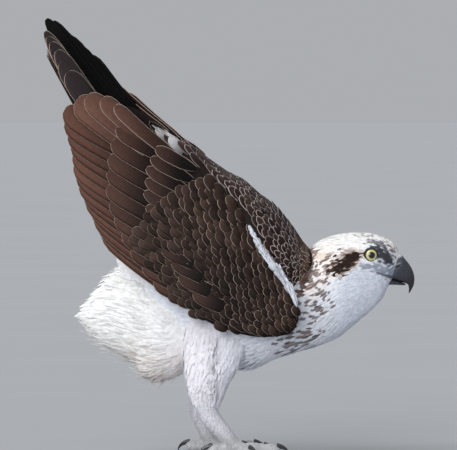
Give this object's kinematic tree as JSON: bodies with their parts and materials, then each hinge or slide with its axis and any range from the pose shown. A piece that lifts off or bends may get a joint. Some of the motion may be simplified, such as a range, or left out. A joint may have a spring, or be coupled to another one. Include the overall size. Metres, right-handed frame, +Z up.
{
  "type": "standing osprey with folded wings held high",
  "caption": "A life-size standing fish hawk in profile, with folded wings and tail raised behind it, fluffed white vent plumage and scaly grey feet.",
  "frame": {"origin": "on the floor, under the middle of the bounding box", "axes": "+Z up, +X the way the bird faces, +Y its left side"},
  "size_m": [0.4069, 0.1704, 0.4797],
  "materials": {
    "white_plumage": "soft white body feathers, streaked brown on the nape, neck sides and breast",
    "brown_plumage": "dark brown back feathers with paler worn edges",
    "flight_feathers": "brown wing and tail feathers with narrow pale edges, smooth and slightly sheeny",
    "cere": "bare blue-grey skin, slightly moist",
    "horn": "black horn with a low gloss, greyer towards its root",
    "scaly_skin": "pale grey skin with fine raised scales",
    "eye": "glossy eye with a yellow iris and a black pupil"
  },
  "bodies": {
    "root": {"head": "white_plumage", "eye_right": "eye", "eye_left": "eye", "cere": "cere", "bill_upper": "horn", "bill_lower": "horn", "neck": "white_plumage", "torso": "white_plumage", "mantle": "brown_plumage", "tail": "flight_feathers", "undertail_coverts": "white_plumage", "wing_right": "flight_feathers", "wing_left": "flight_feathers", "thigh_right": "white_plumage", "shank_right": "scaly_skin", "foot_right": "scaly_skin", "claw_middle_right": "horn", "claw_inner_right": "horn", "claw_outer_right": "horn", "claw_hind_right": "horn", "thigh_left": "white_plumage", "shank_left": "scaly_skin", "foot_left": "scaly_skin", "claw_middle_left": "horn", "claw_inner_left": "horn", "claw_outer_left": "horn", "claw_hind_left": "horn"}
  },
  "joints": []
}
